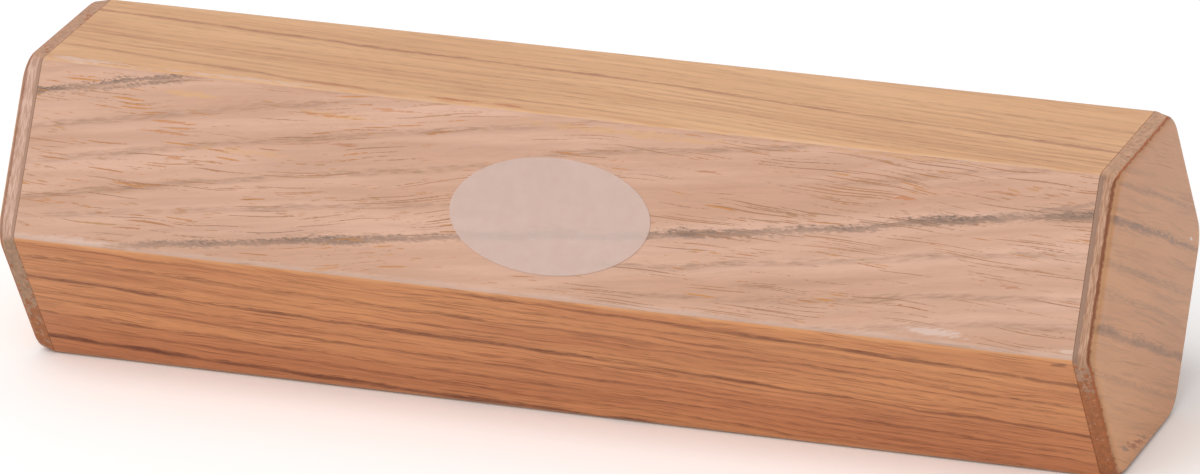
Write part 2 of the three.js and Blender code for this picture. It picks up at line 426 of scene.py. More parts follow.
def satin_lacquer(add, colour, roughness, pores):
    """Ends a material in a thin satin coat that sinks into the open pores."""
    sunk = add("Bump", {"Strength": PORE_BUMP, "Distance": PORE_SUNK, "Height": pores}, invert=True)
    shader = add("BsdfPrincipled", {"Base Color": colour, "Roughness": roughness, "Normal": sunk})
    add("OutputMaterial", {"Surface": shader})


def lacquered_board(name, turn, board):
    """Satin-lacquered open-pored hardwood: warm, softly shining boards with a figure of growth rings,
    dark lines made of pores, and long edges rubbed pale."""
    material = bpy.data.materials.new(name)
    add = fresh_nodes(material)
    here = board_place(add, (0.0, 0.0, apothem), (turn, 0.0, 0.0))
    colour, pores = wood_figure(add, here, board)

    # The eased edges, with a ragged border to the flat
    apart = add("SeparateXYZ", [here])
    along, across = apart.outputs["X"], apart.outputs["Y"]
    leaning = add("Math", [across, board.get("rub_lean", 0.0)], "ADD")
    from_middle = add("Math", [leaning], "ABSOLUTE")
    edge_place = add("CombineXYZ", [along, across])
    bays = mottling(add, edge_place, EDGE_RAG, board["seed"] + 8.0, 4.0)
    reach = add("Math", [bays, EDGE_RAG_REACH, from_middle], "MULTIPLY_ADD")
    rub_from = board.get("rub_from", RUB_FROM)
    rubbed = add("MapRange", [reach, rub_from, rub_from + RUB_BORDER, 0.0, board["rubbed_depth"]], **SOFT)
    colour = add("Mix", [rubbed, colour, linear(board["rubbed"])], data_type="RGBA")
    roughness = add("MapRange", [pores, 0.0, 1.0, SATIN, DULL])
    satin_lacquer(add, colour, roughness, pores)
    return material


# The boards, by the nodes that they stand for. What their words mean:
# turn, slot, seed: turn of the flat from the top one in degrees, material slot, and where its noise starts;
# pale, deep, tone_width, light_and_shade_lean: two tones, how wide their bands are, and how much deeper
# for each millimetre across, a lean that paints light and shade by height;
# vein, ring_width, ring_depth: colour of rings and lines, and how wide and dark the close rings are;
# wander, ripple, fibre_depth: how far slow and quick bends carry the rings, and how strong the fibres are;
# soft_lines, fray, soft_vein: soft lines, how far fibres fray all lines, and the colour of soft ones where
# it isn't the vein's;
# bold_lines, ragged, stipple, thinnest: bold lines, how far they are torn besides, the length of their
# grains, and how many times narrower they get in places;
# rubbed, rubbed_depth, rub_from, rub_lean: tint of the long edges, its strength, where it starts and how
# far that is shifted across;
# pores: layers, each with the length and width of its cells, its rise for each millimetre along, the least
# and most share of a cell that a pore fills, how much less the smallest fill, how much more they crowd for
# each millimetre along, depth, and the two tints that they vary between;
# pore_line, pore_band, pore_break: curve that the pores follow, how much more they fill above the main line,
# and how far the grain breaks them up;
# main_line: points of the line that the rings follow. Other lines and marks are as their functions say.
boards = {
    "stave_top": {
        "turn": 0, "slot": "pale_stave_wood", "seed": 10.0,
        "pale": "#dfab7a", "deep": "#d39c6c", "tone_width": 6.0,
        "vein": "#8a4724", "ring_width": 0.8, "ring_depth": 0.26,
        "wander": 0.5, "ripple": 0.5, "fibre_depth": 0.1,
        "fray": 0.6, "ragged": 0.9, "thinnest": 1.3,
        "rubbed": "#dcb99c", "rubbed_depth": 0.45,
        "pores": [
            (7.0, 0.4, -0.05, 0.18, 0.4, 0.16, 0.0, 0.35, "#b06f3c", "#8a5a40"),
            (11.0, 0.5, -0.07, 0.1, 0.4, 0.16, 0.0, 0.3, "#a5714e", "#855a44"),
        ],
        "main_line": [
            (-100, 10.1), (-65, 7.6), (-27, 5.1), (5, 3.8), (25, 1.8), (38, 0.1), (70, -3.0), (100, -5.8),
        ],
        "bold_lines": [(0.0, 0.0, -100, 100, 0.46, 0.66), (-21.1, -0.039, -100, -32, 0.55, 0.52)],
        "soft_lines": [
            (-5.9, 0.017, -100, 0, 0.5, 0.26), (-11.5, -0.01, -100, 62, 0.5, 0.28),
            (-15.8, -0.02, -100, 10, 0.5, 0.26), (-7.2, -0.01, 5, 100, 0.5, 0.28),
            (9.2, 0.005, 15, 100, 0.6, 0.26), (2.6, 0.004, -100, 100, 0.35, 0.2),
            (5.6, 0.0, -60, 100, 0.35, 0.22), (-2.6, -0.003, -100, 100, 0.35, 0.22),
            (-4.6, 0.006, -20, 100, 0.35, 0.2), (-9.3, 0.004, -100, 100, 0.35, 0.24),
            (-13.6, -0.012, -100, 70, 0.35, 0.22), (7.4, 0.0, 25, 100, 0.3, 0.32),
            (1.3, 0.0, 35, 100, 0.28, 0.3), (-6.0, 0.0, 15, 100, 0.28, 0.32),
            (-10.4, 0.0, 5, 100, 0.3, 0.32),
        ],
        "marks": [
            (-20.0, -14.3, 5.5, 0.8, "#b2602f", 0.75), (-10.5, -14.1, 3.0, 0.7, "#b2602f", 0.7),
            (-43.0, -13.4, 7.5, 0.5, "#b8693c", 0.5), (87.0, -1.4, 2.4, 0.5, "#bb6f48", 0.55),
            (-89.0, -14.6, 8.0, 1.1, "#dcb9a8", 0.75), (-60.0, -14.9, 20.0, 0.6, "#dcb9a8", 0.6),
        ],
    },
    "stave_front_upper": {
        "turn": 60, "slot": "rosy_stave_wood", "seed": 20.0,
        "pale": "#d1a58d", "deep": "#be9074", "tone_width": 5.0,
        "vein": "#6a5140", "ring_width": 1.5, "ring_depth": 0.12,
        "wander": 0.9, "ripple": 0.6, "fibre_depth": 0.09,
        "fray": 0.8, "soft_vein": "#704b25", "ragged": 1.3, "stipple": 0.9, "thinnest": 1.25,
        "rubbed": "#d6bcaf", "rubbed_depth": 0.4, "rub_from": 16.4, "rub_lean": -0.45,
        "pores": [
            (10.0, 0.42, 0.0, 0.04, 0.46, 0.42, -0.0007, 0.8, "#c27c2a", "#a86c38"),
            (24.0, 0.26, 0.02, 0.2, 0.46, 0.22, 0.0009, 0.75, "#a8703f", "#8a6247"),
            (3.4, 0.36, -0.02, 0.02, 0.44, 0.44, -0.0004, 0.58, "#c08240", "#9c6c3c"),
        ],
        "pore_line": [
            (-100, 0.0), (-70, -1.2), (-47, -0.5), (-28, 2.4), (0, 6.0), (12, 6.4), (28, 6.0), (60, 4.4),
            (100, 2.4),
        ],
        "pore_band": 0.06, "pore_break": 0.3,
        "main_line": [
            (-100, -18.4), (-73, -14.6), (-30, -8.7), (18, -2.7), (40, 0.0), (58, 2.8), (76, 6.3), (100, 9.4),
        ],
        "bold_lines": [
            (0.0, 0.0, -76, 100, 0.68, 0.87), (0.1, 0.0, 88, 100, 1.0, 0.6),
            (-5.2, 0.072, 77, 100, 0.45, 0.55), (33.0, 0.05, -100, -84, 0.45, 0.85),
            (33.4, 0.05, -90, -60, 0.36, 0.85), (32.4, 0.05, -88, -68, 0.3, 0.75),
        ],
        "soft_lines": [
            (12.5, 0.029, -100, -5, 0.6, 0.33), (19.2, 0.035, -100, 5, 0.6, 0.34),
            (25.9, 0.042, -100, -40, 0.6, 0.32), (5.4, -0.008, -100, -15, 0.55, 0.24),
            (-4.9, -0.022, 5, 100, 0.6, 0.34), (-9.6, -0.055, 12, 100, 0.6, 0.32),
            (-15.0, -0.047, 20, 100, 0.6, 0.28), (14.1, 0.012, -2, 45, 0.55, 0.36),
            (7.0, 0.01, 50, 90, 0.55, 0.24),
        ],
        "marks": [
            (71.5, -13.8, 6.0, 0.7, "#d8c3ba", 0.5), (95.2, -14.5, 1.6, 0.35, "#e0cabe", 0.35),
            (-86.0, -15.2, 9.0, 0.7, "#d8c1b5", 0.3), (-68.0, 12.6, 5.5, 0.6, "#d29f63", 0.5),
            (-40.0, 11.6, 6.0, 0.7, "#d29f63", 0.45), (12.0, 14.2, 22.0, 0.7, "#d29f63", 0.4),
            (60.0, 15.3, 17.0, 0.4, "#c08a50", 0.4), (-56.0, 3.6, 9.0, 0.6, "#d29f63", 0.35),
            (-70.0, 7.4, 5.0, 0.28, "#b7702f", 0.7), (-72.0, 5.5, 4.5, 0.22, "#b7702f", 0.65),
            (-42.0, 11.5, 4.5, 0.25, "#b7702f", 0.65), (-38.5, 6.8, 3.0, 0.3, "#a96a3c", 0.65),
            (-31.0, 13.6, 4.0, 0.3, "#b7702f", 0.55), (-69.0, 1.2, 2.0, 0.28, "#b7702f", 0.65),
            (-91.5, -8.7, 2.6, 0.28, "#b7702f", 0.65), (-82.0, -11.7, 4.5, 0.25, "#b08045", 0.6),
            (28.0, 9.0, 2.6, 0.25, "#a96a3c", 0.65), (63.0, 8.3, 3.4, 0.3, "#b46a33", 0.7),
            (81.0, 11.0, 3.4, 0.25, "#a96a3c", 0.6), (84.5, -4.8, 2.8, 0.25, "#a96a3c", 0.6),
        ],
    },
    "stave_front_lower": {
        "turn": 120, "slot": "red_brown_stave_wood", "seed": 30.0,
        # Its lean paints the flat deeper towards its bottom: painted shade near the floor
        "pale": "#d8925d", "deep": "#c57d4e", "tone_width": 6.0, "light_and_shade_lean": -0.008,
        "vein": "#6c310d", "ring_width": 0.6, "ring_depth": 0.34,
        "wander": 0.8, "ripple": 0.8, "fibre_depth": 0.17,
        "fray": 0.9, "ragged": 0.5, "thinnest": 1.3,
        "rubbed": "#d8a274", "rubbed_depth": 0.4,
        "pores": [
            (16.0, 0.5, -0.05, 0.28, 0.4, 0.16, 0.0, 0.5, "#8d4f27", "#76401f"),
            (10.0, 0.4, -0.01, 0.22, 0.4, 0.16, 0.0, 0.5, "#94552b", "#7d4623"),
        ],
        "main_line": [(-100, 6.0), (-65, 4.1), (-35, 2.6), (5, 1.1), (45, -1.2), (100, -5.0)],
        "bold_lines": [
            (0.0, 0.0, -100, 100, 0.44, 0.8), (-16.6, 0.0, -100, 15, 0.6, 1.0),
            (13.0, 0.01, -15, 100, 0.43, 0.72),
        ],
        "soft_lines": [
            (10.4, 0.012, -100, 100, 0.32, 0.3), (6.6, 0.008, -100, 100, 0.42, 0.46),
            (3.2, 0.005, -100, 100, 0.3, 0.26), (-3.1, 0.006, -100, 85, 0.3, 0.26),
            (-5.8, 0.0, -100, 95, 0.42, 0.46), (-9.6, 0.0, -100, 82, 0.42, 0.46),
            (-13.0, 0.0, -100, 45, 0.42, 0.44), (8.4, 0.01, -10, 100, 0.3, 0.34),
            (4.8, 0.006, 5, 100, 0.28, 0.34), (1.7, 0.003, -20, 100, 0.26, 0.34),
            (-1.7, 0.002, 0, 100, 0.26, 0.34), (-4.5, 0.004, 10, 100, 0.28, 0.34),
            (-7.7, 0.0, 0, 100, 0.3, 0.34), (-11.3, 0.0, -5, 92, 0.3, 0.34),
        ],
        "marks": [(94.2, 14.4, 1.4, 0.7, "#7d4a33", 0.7)],
    },
    "stave_bottom": {
        "turn": 180, "slot": "brown_stave_wood", "seed": 40.0,
        "pale": "#d6a37b", "deep": "#c38e66", "tone_width": 6.0,
        "vein": "#744f35", "ring_width": 1.5, "ring_depth": 0.32,
        "wander": 0.8, "ripple": 0.6, "fibre_depth": 0.12,
        "fray": 0.6, "ragged": 1.0,
        "rubbed": "#dab393", "rubbed_depth": 0.5,
        "pores": [
            (12.0, 0.4, 0.04, 0.2, 0.4, 0.16, 0.0, 0.5, "#a06c45", "#825638"),
            (9.0, 0.36, 0.0, 0.12, 0.4, 0.16, 0.0, 0.5, "#a5703f", "#86593a"),
        ],
        "main_line": [(-100, -3.0), (0, 0.5), (100, 5.0)],
        "bold_lines": [(0.0, 0.0, -100, 100, 0.55, 0.75), (-8.5, -0.015, -60, 100, 0.55, 0.55)],
        "soft_lines": [
            (9.0, 0.01, -100, 40, 0.6, 0.45), (4.6, 0.0, -100, 100, 0.6, 0.35),
            (-4.0, -0.005, -100, 100, 0.6, 0.35),
        ],
    },
    "stave_back_lower": {
        "turn": 240, "slot": "red_brown_stave_wood", "seed": 50.0,
        "pale": "#d99963", "deep": "#c17d4c", "tone_width": 5.0,
        "vein": "#63371c", "ring_width": 1.3, "ring_depth": 0.32,
        "wander": 0.8, "ripple": 0.8, "fibre_depth": 0.16,
        "fray": 0.6, "ragged": 0.9,
        "rubbed": "#d8a67a", "rubbed_depth": 0.4,
        "pores": [
            (15.0, 0.5, 0.05, 0.22, 0.4, 0.16, 0.0, 0.5, "#8f522a", "#784323"),
            (10.0, 0.42, 0.01, 0.14, 0.4, 0.16, 0.0, 0.45, "#94572d", "#7d4825"),
        ],
        "main_line": [(-100, -5.0), (-20, -2.0), (100, 4.5)],
        "bold_lines": [(0.0, 0.0, -100, 100, 0.5, 0.9), (-9.0, 0.01, -40, 100, 0.5, 0.7)],
        "soft_lines": [
            (10.5, 0.02, -100, 100, 0.5, 0.45), (5.5, 0.0, -100, 60, 0.45, 0.4),
            (-4.2, 0.005, -100, 100, 0.5, 0.4), (-13.0, 0.0, -100, 30, 0.5, 0.4),
        ],
    },
    "stave_back_upper": {
        "turn": 300, "slot": "pale_stave_wood", "seed": 60.0,
        "pale": "#d9aa86", "deep": "#cb9a76", "tone_width": 5.0,
        "vein": "#765743", "ring_width": 1.7, "ring_depth": 0.26,
        "wander": 0.9, "ripple": 0.6, "fibre_depth": 0.08,
        "fray": 0.6, "ragged": 1.3,
        "rubbed": "#dbbca6", "rubbed_depth": 0.6,
        "pores": [
            (12.0, 0.36, 0.05, 0.2, 0.4, 0.16, 0.0, 0.7, "#b3733a", "#8a6247"),
            (9.0, 0.32, 0.0, 0.12, 0.4, 0.16, 0.0, 0.65, "#b27844", "#8c6345"),
        ],
        "main_line": [(-100, 10.0), (-40, 4.0), (20, 0.0), (100, -9.0)],
        "bold_lines": [(0.0, 0.0, -100, 100, 0.65, 0.85)],
        "soft_lines": [
            (-12.0, -0.03, -100, 30, 0.8, 0.45), (11.0, 0.02, -20, 100, 0.75, 0.4),
            (-6.0, 0.0, -100, 100, 0.7, 0.34), (6.5, 0.01, -100, 40, 0.7, 0.3),
        ],
    },
}
stave_shape = stave_tree()
for node, board in boards.items():
    turn = math.radians(board["turn"])
    stave = grow(stave_shape, node.replace("stave", "board"), {
        "Length": tube_length, "Apothem": apothem, "Wall": wall, "Turn": turn,
        "Edge radius": EDGE_RADIUS, "Edge wear": EDGE_WEAR,
        "Sections": round(tube_length / SECTION_SPACING) + 1,
        "Wood": lacquered_board("lacquered_hardwood_" + node, turn, board),
    })
    smooth_but_for_corners(stave.data)
    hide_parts(node)
    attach(stave, "shell")


# End caps
# Hexagons sawn from three-ply sheet and glued flush over the ends of the tube. Their rims were rolled over
# and their corners sanded round, which shows the plies: two veneers, and a core with its grain across theirs.
right_low, right_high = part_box("end_cap_right")
CAP_THICKNESS = right_high.x - right_low.x
QUARTER_TURN = math.radians(90)
RIM_RADIUS = 1.5 * MM
CAP_CORNER_RADIUS = 6 * MM
JOINT_GROOVE = 0.12 * MM  # fine groove where the cap meets the staves
CORNER_STEPS = 14
RIM_STEPS = 8
CORE_TO = 2.5 * MM
CORE_SUNK = 0.05 * MM  # the softer core was sanded a little deeper


def cap_outline(inset, corner_radius):
    """Turn, y and z of the points round a hexagon set in from the tube's flats, with rounded corners."""
    outline = []
    centre_reach = (apothem - inset - corner_radius) / math.cos(SIXTH_TURN / 2)
    for corner in range(6):
        for step in range(CORNER_STEPS + 1):
            turn = SIXTH_TURN * (corner - 0.5 + step / CORNER_STEPS)
            y = centre_reach * math.cos(SIXTH_TURN * corner) + corner_radius * math.cos(turn)
            z = centre_reach * math.sin(SIXTH_TURN * corner) + corner_radius * math.sin(turn)
            outline.append((turn, y, z))
    return outline


def cap_rings(core_from):
    """Height above the seat and inset of each ring, from the seat to the end face."""
    rings = [(0.0, JOINT_GROOVE), (JOINT_GROOVE, 0.0)]
    rings += [(core_from - CORE_SUNK, 0.0), (core_from + CORE_SUNK, CORE_SUNK)]
    for step in range(RIM_STEPS + 1):
        turn = QUARTER_TURN * step / RIM_STEPS
        height = CAP_THICKNESS - RIM_RADIUS * (1 - math.sin(turn))
        sunk = CORE_SUNK if height < CORE_TO else 0.0
        rings.append((height, sunk + RIM_RADIUS * (1 - math.cos(turn))))
    return rings


def skinned(name, rings):
    """A closed piece over rings that have as many points each, from its flat bottom to its flat top."""
    count = len(rings[0])
    points = [point for ring in rings for point in ring]
    faces = []
    for first in range(0, len(points) - count, count):
        for at in range(count):
            after = (at + 1) % count
            faces.append((first + at, first + after, first + after + count, first + at + count))
    faces.append(tuple(reversed(range(count))))
    faces.append(tuple(range(len(points) - count, len(points))))
    mesh = bpy.data.meshes.new(name)
    mesh.from_pydata(points, [], faces)
    smooth_but_for_corners(mesh)
    return put_in_scene(name, mesh)


def end_cap(name, end, grain, core_from):
    """A cap at the right end (1) or the left one (-1). Each point keeps how squarely it cuts the core's
    fibres."""
    rings = []
    cut = []
    for height, inset in cap_rings(core_from):
        sanded = math.sin(QUARTER_TURN * height / CAP_THICKNESS)
        corner_radius = EDGE_RADIUS + (CAP_CORNER_RADIUS - EDGE_RADIUS) * sanded
        ring = []
        for turn, y, z in cap_outline(inset, corner_radius):
            ring.append((end * (tube_length / 2 + height), end * y, apothem + z))
            cut.append((end * math.cos(turn) * -math.sin(grain) + math.sin(turn) * math.cos(grain)) ** 2)
        rings.append(ring)
    cap = skinned(name, rings)
    cap.data.attributes.new("cut", "FLOAT", "POINT").data.foreach_set("value", cut)
    return cap


# Plies on the rim, in millimetres: x above the seat, y and z from the tube's axis
CRUMBLE = (0.7, 0.9, 0.9)  # grains of the sanded rim
CORE_STREAK = (0.2, 2.4, 2.4)
PLY_BORDER = 0.1
UNEVEN_LONG = 0.7  # how far the sanding shifts the plies, where the core's fibres run along the rim
UNEVEN_CUT = 0.9  # and where they are cut
DRUNK_SHADE_FADE = 12.0  # height over which the patches grow more common downwards: painted shade
DRUNK_GRAIN_AND_SHADE = "#a56235"  # cut fibres full of lacquer, and painted shade where the patches crowd on the lower sides
DRY_SHADE_FADE = 20.0  # height above the axis over which dry cut fibres are painted darker downwards: painted shade
EDGE_FROM = 2.62  # where the outer veneer's edge starts, where its fibres run along the rim
EDGE_LONG_DEPTH = 0.92  # how dark it is there
EDGE_NARROW = 0.36  # and how wide
EDGE_BROAD = 0.6  # where its fibres are cut
EDGE_LONG = "#a04a08"
EDGE_CUT = "#74390f"
EDGE_FADE = 20.0  # height below the axis over which it gets faint
EDGE_FAINT = 0.15
ROLL_TOP = 3.58
ROLL_LOW = 3.2
ROLLED_VENEER = "#b38761"


def cut_plies(add, place, level, crumble, cut_across, board):
    """Colour of the seat's ply and the core on the rim."""
    # Along the core's fibres: the seat's ply, then the streaked core
    streak = mottling(add, place, CORE_STREAK, board["seed"] + 22.0, 5.0)
    streaked = add("MapRange", [streak, 0.4, 0.6])
    core = add("Mix", [streaked, linear(board["core_dark"]), linear(board["core_light"])], data_type="RGBA")
    core_from = board["core_from"]
    in_core = add("MapRange", [level, core_from - PLY_BORDER, core_from + PLY_BORDER])
    long_grain = add("Mix", [in_core, linear(board["seat_ply"]), core], data_type="RGBA")

    # Across them: patches that drank more, and more of them towards the lower sides, a growth that is painted
    # shade
    above_axis = add("SeparateXYZ", [place]).outputs["Z"]
    patch = mottling(add, place, (board["patch"],) * 3, board["seed"] + 23.0, 4.0)
    below = board["drunk_shade_below"]
    drunk = add("MapRange", [above_axis, below, below - DRUNK_SHADE_FADE, board["drunk_top"], board["drunk_and_shade_low"]])
    drunk = add("Math", [patch, drunk], "ADD")
    drunk = add("MapRange", [drunk, 0.55, 0.66], **SOFT)
    # Dry cut fibres are painted darker towards the lower sides: painted shade
    painted_shade = add("MapRange", [above_axis, DRY_SHADE_FADE, 0.0])
    dry = add("Mix", [painted_shade, linear(board["dry_top"]), linear(board["dry_painted_shade_low"])], data_type="RGBA")
    end_grain = add("Mix", [drunk, dry, linear(DRUNK_GRAIN_AND_SHADE)], data_type="RGBA")
    flecked = add("MapRange", [crumble, 0.38, 0.62, 0.8, 1.12])
    end_grain = add("VectorMath", [end_grain, flecked], "SCALE")
    return add("Mix", [cut_across, long_grain, end_grain], data_type="RGBA")


def lacquered_plywood(name, end, grain, board):
    """Three-ply sheet under satin lacquer: a figured veneer on the face, and on the rim its layers, pale
    where the core's fibres run along it, and brown where they are cut and drank the lacquer. The rim is
    darker still on its lower sides, which is painted shade."""
    material = bpy.data.materials.new(name)
    add = fresh_nodes(material)
    # The veneer's own frame: x with its grain, y across it on the face, z out of the end
    with_grain = Vector((0.0, math.cos(grain), math.sin(grain)))
    outwards = Vector((end, 0.0, 0.0))
    frame_of_veneer = Matrix((with_grain, outwards.cross(with_grain), outwards)).transposed()
    seat = Vector((end * tube_length / 2, 0.0, apothem))
    face, pores = wood_figure(add, board_place(add, seat, frame_of_veneer.to_euler()), board)

    # Height above the seat, made uneven by the sanding
    place = board_place(add, seat, facing=end)
    apart = add("SeparateXYZ", [place])
    above_seat, above_axis = apart.outputs["X"], apart.outputs["Z"]
    crumble = mottling(add, place, CRUMBLE, board["seed"] + 21.0, 4.0)
    cut = add("Attribute", attribute_name="cut").outputs["Fac"]
    cut_across = add("MapRange", [cut, 0.15, 0.6], **SOFT)
    uneven = add("MapRange", [cut_across, 0.0, 1.0, UNEVEN_LONG, UNEVEN_CUT])
    lifted = add("Math", [crumble, 0.5], "SUBTRACT")
    level = add("Math", [lifted, uneven, above_seat], "MULTIPLY_ADD")
    layers = cut_plies(add, place, level, crumble, cut_across, board)

    # The outer veneer's edge: a dark line, broad where its own fibres are cut and faint on the lower sides
    edge_from = add("MapRange", [cut_across, 0.0, 1.0, board["edge_from"], EDGE_FROM])
    past_core = add("Math", [level, edge_from], "SUBTRACT")
    above = add("MapRange", [above_axis, -EDGE_FADE, 0.0, EDGE_FAINT, 1.0])
    edge_depth = add("MapRange", [cut_across, 0.0, 1.0, board["edge_depth"], EDGE_LONG_DEPTH])
    edge_depth = add("Math", [above, edge_depth], "MULTIPLY")
    edge = add("MapRange", [past_core, 0.0, 0.25, 0.0, edge_depth], **SOFT)
    edge_colour = add("Mix", [cut_across, linear(EDGE_CUT), linear(EDGE_LONG)], data_type="RGBA")
    layers = add("Mix", [edge, layers, edge_colour], data_type="RGBA")
    edge_width = add("MapRange", [cut_across, 0.0, 1.0, EDGE_BROAD, EDGE_NARROW])
    past_edge = add("Math", [past_core, edge_width], "SUBTRACT")
    on_face = add("MapRange", [past_edge, -0.1, 0.35], **SOFT)
    # The face's own veneer is a little darker where it was rubbed through on the roll
    rolled = add("MapRange", [above_seat, ROLL_TOP, ROLL_LOW, 0.0, 0.6], **SOFT)
    face = add("Mix", [rolled, face, linear(ROLLED_VENEER)], data_type="RGBA")
    colour = add("Mix", [on_face, layers, face], data_type="RGBA")
    roughness = add("MapRange", [on_face, 0.0, 1.0, DULL, SATIN])
    satin_lacquer(add, colour, roughness, pores)
    return material


# The veneers are written as the staves' boards are, along their own grain, with these words added:
# grain_angle: of the outer veneer on the end face, in degrees from level;
# core_from, core_dark, core_light, seat_ply: where the core starts above the seat, its two colours, and
# that of the seat's ply;
# patch, drunk_top, drunk_and_shade_low, drunk_shade_below: size of the patches that drank lacquer, how many
# more there are on the upper and lower sides, and the height from the axis where their number starts to grow,
# the growth on the lower sides being painted shade;
# dry_top, dry_painted_shade_low: colours of dry cut fibres on the upper and lower sides, the lower one darker
# as painted shade;
# edge_from, edge_depth: where the outer veneer's edge starts and how dark it is, where its fibres are cut.
veneer = {
    # The lean paints the right cap's face paler towards its bottom and deeper towards its top, painted light
    # against the shade near the floor; the left cap's frame is mirrored, so there it deepens the bottom
    "pale": "#dc9d6d", "deep": "#d29367", "tone_width": 7.0, "light_and_shade_lean": 0.008,
    "vein": "#755546", "ring_width": 1.1, "ring_depth": 0.25,
    "wander": 0.6, "ripple": 0.6, "fibre_depth": 0.09,
    "fray": 0.7, "ragged": 1.1,
    "pores": [
        (34.0, 0.24, 0.0, 0.22, 0.42, 0.24, 0.0, 0.45, "#a0672f", "#86562f"),
        (20.0, 0.22, 0.02, 0.14, 0.42, 0.26, 0.0, 0.42, "#a5692f", "#8a5a34"),
    ],
    "main_line": [(-100, 0), (100, 0)],
}
veneers = {
    "end_cap_right": {
        **veneer, "end": 1, "seed": 70.0, "grain_angle": -26.5,
        "core_from": 0.92, "core_dark": "#9a6d4f", "core_light": "#c4997c", "seat_ply": "#94715d",
        # More drunk patches and darker dry fibres on the lower sides: painted shade
        "patch": 0.9, "drunk_top": -0.03, "drunk_and_shade_low": 0.24, "drunk_shade_below": 2.0,
        "dry_top": "#c19475", "dry_painted_shade_low": "#b1866b", "edge_from": 2.15, "edge_depth": 0.95,
        "bold_lines": [(10.5, 0.0, -100, 100, 0.65, 0.75), (-8.4, 0.0, -100, 100, 0.95, 0.62)],
        "soft_lines": [
            (17.0, 0.01, -100, 100, 0.5, 0.35), (3.0, 0.0, -100, 100, 0.8, 0.3),
            (-2.0, 0.01, -100, 10, 0.8, 0.25), (-15.5, 0.0, -100, 100, 0.6, 0.25),
        ],
        "marks": [
            (2.0, -25.6, 3.2, 0.55, "#a2552c", 0.8), (5.6, -24.6, 3.0, 0.5, "#a2552c", 0.75),
            (-2.4, -26.4, 3.4, 0.5, "#8f6d5a", 0.7), (8.0, -23.6, 3.0, 0.4, "#8f6d5a", 0.65),
            (21.7, 12.0, 0.9, 0.5, "#e8ddd6", 0.85),
        ],
    },
    "end_cap_left": {
        **veneer, "end": -1, "seed": 80.0, "grain_angle": -33.0,
        "core_from": 0.65, "core_dark": "#ab826a", "core_light": "#d3ad9a", "seat_ply": "#a27d68",
        # More drunk patches and darker dry fibres on the lower sides: painted shade
        "patch": 1.3, "drunk_top": -0.02, "drunk_and_shade_low": 0.17, "drunk_shade_below": -8.0,
        "dry_top": "#b98b6e", "dry_painted_shade_low": "#a98366", "edge_from": 2.35, "edge_depth": 0.6,
        "bold_lines": [(6.0, 0.0, -100, 100, 0.75, 0.7), (-12.0, 0.01, -100, 100, 0.7, 0.65)],
        "soft_lines": [(-3.0, 0.0, -100, 100, 0.7, 0.3), (15.0, 0.0, -100, 100, 0.6, 0.3)],
    },
}
for node, board in veneers.items():
    grain = math.radians(board["grain_angle"])
    cap = end_cap(node.replace("end_cap", "plywood_cap"), board["end"], grain, board["core_from"] * MM)
    cap.data.materials.append(lacquered_plywood("lacquered_plywood_" + node, board["end"], grain, board))
    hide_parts(node)
    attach(cap, "shell")


# Label
# A blank oval of thin milky film, die-cut and stuck to the upper front stave. The wood's darkest
# line still shows through it.
LABEL_LENGTH = 36.5 * MM
LABEL_HEIGHT = 20.4 * MM
LABEL_ALONG = 0.7 * MM
LABEL_ABOVE_MIDDLE = -1.6 * MM
LABEL_BOTTOM = 0.02 * MM  # clear of the wood
LABEL_TOP = 0.2 * MM
LABEL_EDGE = 0.08 * MM  # rounding of the cut edge
LABEL_STEPS = 128
GLUE_MOTTLE = 2.5 * MM
FILM_CLOUDED = 0.45  # share of the film that isn't clear


def oval_film(name):
    """The film, built on the top flat and turned down to the upper front one."""
    to_flat = Matrix.Translation((0.0, 0.0, apothem)) @ Matrix.Rotation(SIXTH_TURN, 4, "X")
    rings = []
    for height, inset in [(LABEL_BOTTOM, 0.0), (LABEL_TOP - LABEL_EDGE, 0.0), (LABEL_TOP, LABEL_EDGE)]:
        ring = []
        for step in range(LABEL_STEPS):
            turn = 2 * math.pi * step / LABEL_STEPS
            x = LABEL_ALONG + (LABEL_LENGTH / 2 - inset) * math.cos(turn)
            y = LABEL_ABOVE_MIDDLE + (LABEL_HEIGHT / 2 - inset) * math.sin(turn)
            ring.append(to_flat @ Vector((x, y, apothem + height)))
        rings.append(ring)
    return skinned(name, rings)


def milky_film():
    """Milky polypropylene film: half clear, faintly mottled by the glue under it, with a soft shine."""
    material = bpy.data.materials.new("milky_polypropylene_film")
    add = fresh_nodes(material)
    point = add("TexCoord").outputs["Object"]
    mottle = add("TexNoise", {"Vector": point, "Scale": 1 / GLUE_MOTTLE, "Detail": 3.0})
    share = add("MapRange", [mottle, 0.35, 0.65])
    colour = add("Mix", [share, linear("#e4c9bc"), linear("#e8cec3")], data_type="RGBA")
    roughness = add("MapRange", [mottle, 0.0, 1.0, 0.36, 0.46])
    shader = add("BsdfPrincipled", {
        "Base Color": colour, "Roughness": roughness, "IOR": 1.49, "Alpha": FILM_CLOUDED})
    add("OutputMaterial", {"Surface": shader})
    return material


film = oval_film("blank_oval_film")
film.data.materials.append(milky_film())
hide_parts("oval_label")
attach(film, "shell")


# Shot
# Loose bright steel balls, tumbled smooth but not quite round, that run to and fro in the chamber.
# They are closed in by the staves and caps, and each one is a body of its own.
BALL_DENT = 0.02 * MM
DENT_WIDTH = 1.2 * MM
BALL_DETAIL = 4
SCUFF_WIDTH = 0.4 * MM


